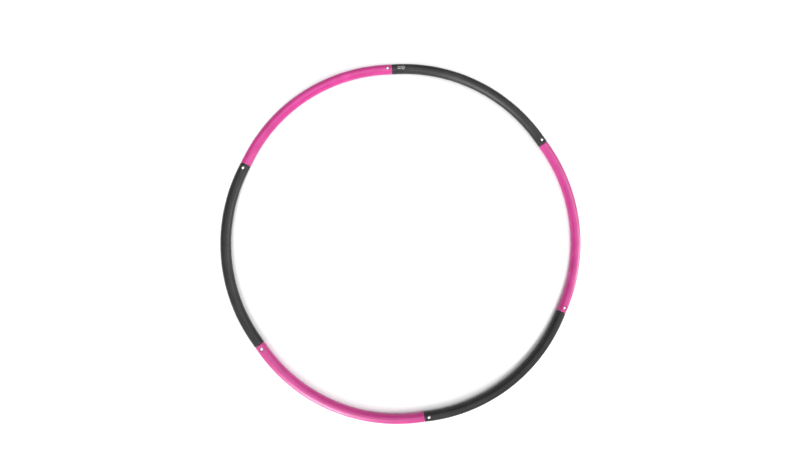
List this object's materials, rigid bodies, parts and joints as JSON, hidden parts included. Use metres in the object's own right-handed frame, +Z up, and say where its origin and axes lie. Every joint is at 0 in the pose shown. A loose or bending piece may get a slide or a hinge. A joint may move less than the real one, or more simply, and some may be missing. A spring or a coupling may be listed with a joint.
{
  "type": "sectional exercise hoop",
  "caption": "Large round exercise hoop of curved foam-covered steel tubes, plugged end to end and locked by round spring snap buttons.",
  "frame": {"origin": "centre of the hoop, on the floor that the hoop lies flat on", "axes": "+Z up through the centre of the hoop, +X towards the joint between sections 6 and 1; sections 1 to 6 run counterclockwise seen from above"},
  "size_m": [0.992, 1, 0.027],
  "materials": {
    "grey_foam": "satin",
    "pink_foam": "satin",
    "core_steel": "satin",
    "spigot_steel": "satin",
    "button_steel": "gloss",
    "rivet_steel": "satin"
  },
  "bodies": {
    "section_1": {"foam_sleeve_1": "grey_foam", "core_tube_1": "core_steel", "joint_spigot_1": "spigot_steel", "spigot_rivet_1": "rivet_steel"},
    "section_2": {"foam_sleeve_2": "pink_foam", "core_tube_2": "core_steel", "joint_spigot_2": "spigot_steel", "spigot_rivet_2": "rivet_steel"},
    "section_3": {"foam_sleeve_3": "grey_foam", "core_tube_3": "core_steel", "joint_spigot_3": "spigot_steel", "spigot_rivet_3": "rivet_steel"},
    "section_4": {"foam_sleeve_4": "pink_foam", "core_tube_4": "core_steel", "joint_spigot_4": "spigot_steel", "spigot_rivet_4": "rivet_steel"},
    "section_5": {"foam_sleeve_5": "grey_foam", "core_tube_5": "core_steel", "joint_spigot_5": "spigot_steel", "spigot_rivet_5": "rivet_steel"},
    "section_6": {"foam_sleeve_6": "pink_foam", "core_tube_6": "core_steel", "joint_spigot_6": "spigot_steel", "spigot_rivet_6": "rivet_steel"},
    "button_1": {"snap_clip_1": "button_steel"},
    "button_2": {"snap_clip_2": "button_steel"},
    "button_3": {"snap_clip_3": "button_steel"},
    "button_4": {"snap_clip_4": "button_steel"},
    "button_5": {"snap_clip_5": "button_steel"},
    "button_6": {"snap_clip_6": "button_steel"}
  },
  "joints": [
    {"name": "section_2_pull", "type": "slide", "parent": "section_1", "child": "section_2", "axis": [-0.866, 0.5, 0], "range_m": [0, 0.045]},
    {"name": "section_3_pull", "type": "slide", "parent": "section_2", "child": "section_3", "axis": [-0.866, -0.5, 0], "range_m": [0, 0.045]},
    {"name": "section_4_pull", "type": "slide", "parent": "section_3", "child": "section_4", "axis": [0, -1, 0], "range_m": [0, 0.045]},
    {"name": "section_5_pull", "type": "slide", "parent": "section_4", "child": "section_5", "axis": [0.866, -0.5, 0], "range_m": [0, 0.045]},
    {"name": "section_6_pull", "type": "slide", "parent": "section_5", "child": "section_6", "axis": [0.866, 0.5, 0], "range_m": [0, 0.045]},
    {"name": "button_1_press", "type": "slide", "parent": "section_1", "child": "button_1", "axis": [0, 0, -1], "range_m": [0, 0.0046], "stiffness_N_per_m": 1500, "springref_m": -0.003, "deforming": ["snap_clip_1"]},
    {"name": "button_2_press", "type": "slide", "parent": "section_2", "child": "button_2", "axis": [0, 0, -1], "range_m": [0, 0.0046], "stiffness_N_per_m": 1500, "springref_m": -0.003, "deforming": ["snap_clip_2"]},
    {"name": "button_3_press", "type": "slide", "parent": "section_3", "child": "button_3", "axis": [0, 0, -1], "range_m": [0, 0.0046], "stiffness_N_per_m": 1500, "springref_m": -0.003, "deforming": ["snap_clip_3"]},
    {"name": "button_4_press", "type": "slide", "parent": "section_4", "child": "button_4", "axis": [0, 0, -1], "range_m": [0, 0.0046], "stiffness_N_per_m": 1500, "springref_m": -0.003, "deforming": ["snap_clip_4"]},
    {"name": "button_5_press", "type": "slide", "parent": "section_5", "child": "button_5", "axis": [0, 0, -1], "range_m": [0, 0.0046], "stiffness_N_per_m": 1500, "springref_m": -0.003, "deforming": ["snap_clip_5"]},
    {"name": "button_6_press", "type": "slide", "parent": "section_6", "child": "button_6", "axis": [0, 0, -1], "range_m": [0, 0.0046], "stiffness_N_per_m": 1500, "springref_m": -0.003, "deforming": ["snap_clip_6"]}
  ],
  "couplings": [
    {"joint": "section_3_pull", "follows": "section_2_pull", "ratio": 1},
    {"joint": "section_4_pull", "follows": "section_2_pull", "ratio": 1},
    {"joint": "section_5_pull", "follows": "section_2_pull", "ratio": 1},
    {"joint": "section_6_pull", "follows": "section_2_pull", "ratio": 1}
  ]
}
